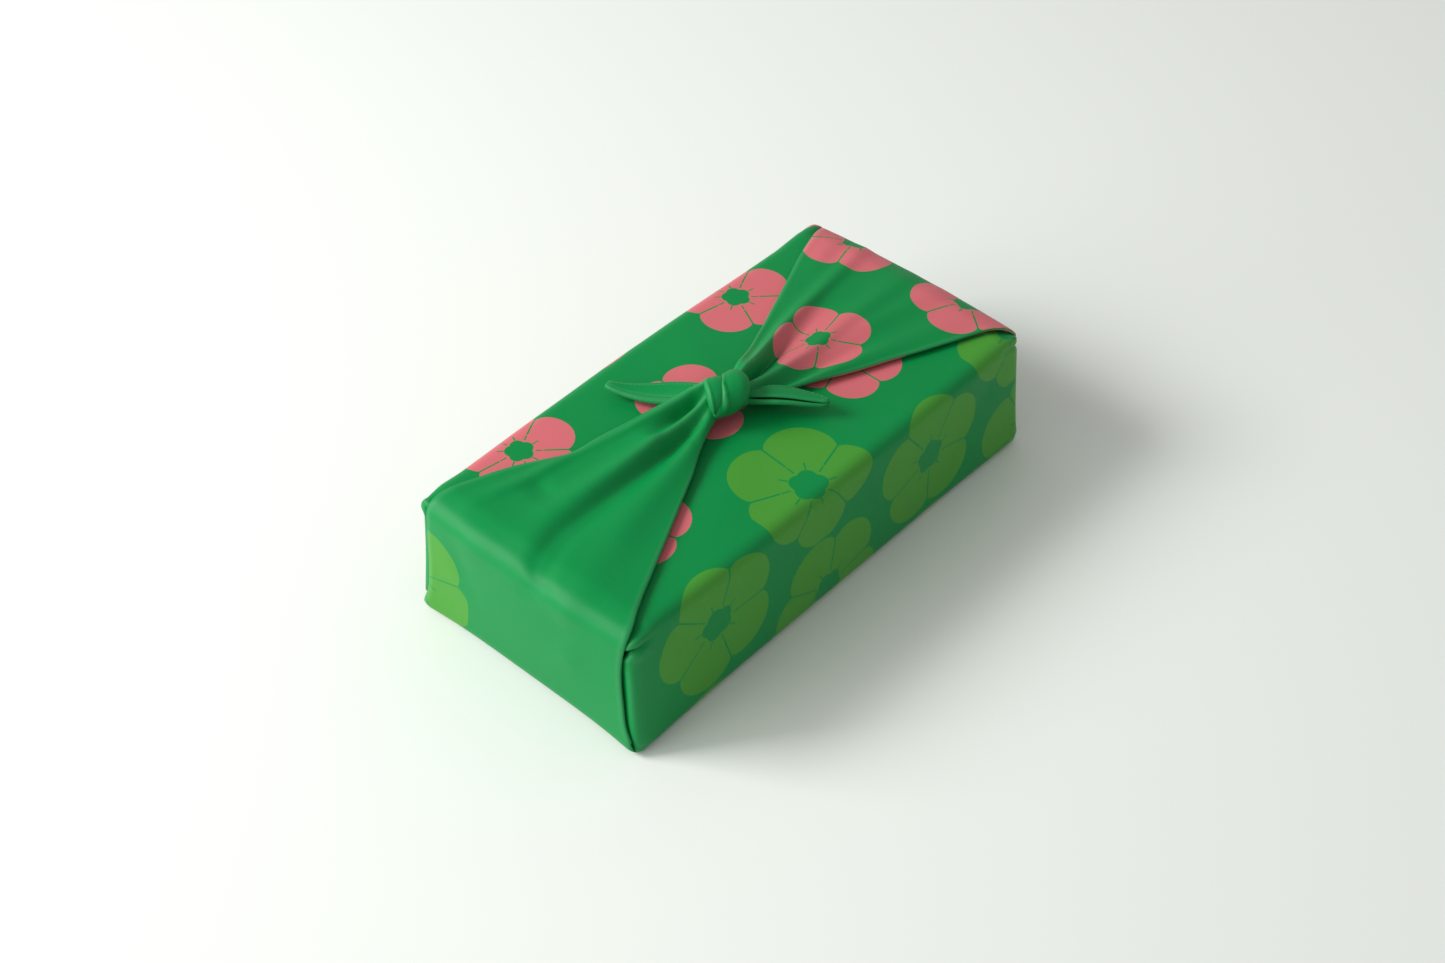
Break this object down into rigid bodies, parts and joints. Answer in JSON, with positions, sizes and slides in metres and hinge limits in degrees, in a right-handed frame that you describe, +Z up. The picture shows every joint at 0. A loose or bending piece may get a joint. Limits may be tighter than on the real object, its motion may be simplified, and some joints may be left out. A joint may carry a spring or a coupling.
{
  "type": "furoshiki wrap",
  "caption": "Square cloth wrapped round a long flat pack and tied in a square knot on top, with two short loose tails.",
  "frame": {"origin": "middle of the bottom face, on the surface it rests on", "axes": "+X along the pack between the two tied ends, +Y to the back, +Z up through the knot"},
  "size_m": [0.2924, 0.1422, 0.099],
  "materials": {
    "green_cloth": "smooth printed weave"
  },
  "bodies": {
    "root": {"furoshiki_cloth": "green_cloth"}
  },
  "joints": []
}
